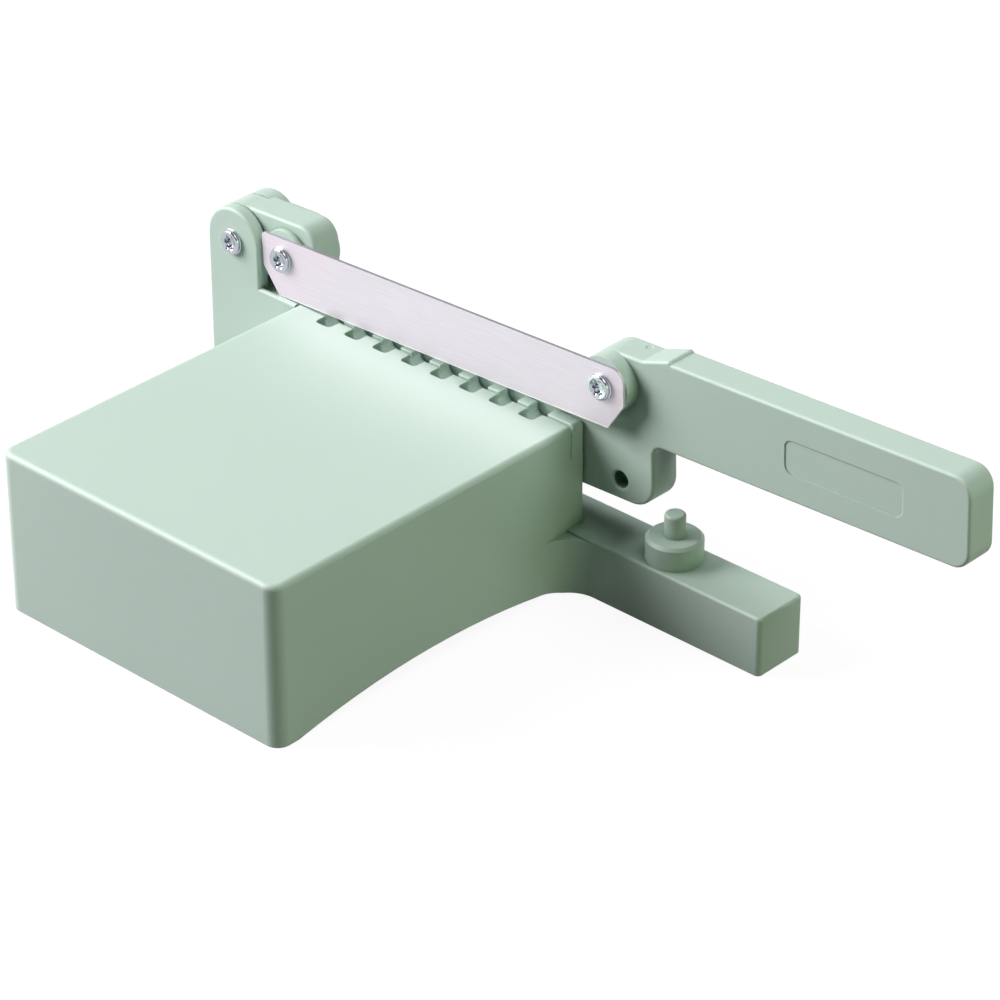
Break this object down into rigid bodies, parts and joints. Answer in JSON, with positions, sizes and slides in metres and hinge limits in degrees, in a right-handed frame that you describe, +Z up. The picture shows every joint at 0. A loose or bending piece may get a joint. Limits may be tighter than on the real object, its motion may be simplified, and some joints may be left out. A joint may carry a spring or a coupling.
{
  "type": "rice cake slicer",
  "caption": "Bench slicer: a steel blade on a swinging frame with a straight grip, hinged in a clevis on a moulded block with a notched cutting strip.",
  "frame": {"origin": "on the bench, under the middle of the whole part with its lever at rest", "axes": "+X from the pivot along the blade to the grip, +Y from the block's front to the blade at the rear, +Z up"},
  "size_m": [0.2426, 0.1168, 0.0733],
  "materials": {
    "sage_plastic": "pale sage green moulding, semi-gloss, slightly translucent at thin edges",
    "blade_steel": "fine ground stainless steel with a bright honed lower edge",
    "plated_steel": "bright nickel plated hardware",
    "turned_steel": "turned steel distance sleeve",
    "nylon": "natural white nylon washers"
  },
  "bodies": {
    "base": {"base_body": "sage_plastic", "cutting_strip": "sage_plastic", "pivot_screw": "plated_steel", "pivot_sleeve": "turned_steel", "pivot_washer_front": "nylon", "pivot_washer_rear": "nylon", "pivot_nut": "plated_steel"},
    "lever": {"lever_frame": "sage_plastic", "blade": "blade_steel", "blade_screw_left": "plated_steel", "blade_screw_right": "plated_steel", "blade_nut_left": "plated_steel", "blade_nut_right": "plated_steel"}
  },
  "joints": [
    {"name": "lever_pivot", "type": "hinge", "parent": "base", "child": "lever", "pos_m": [-0.11214, 0.04952, 0.0553], "axis": [0, -1, 0], "range_deg": [-2.25, 85]}
  ]
}
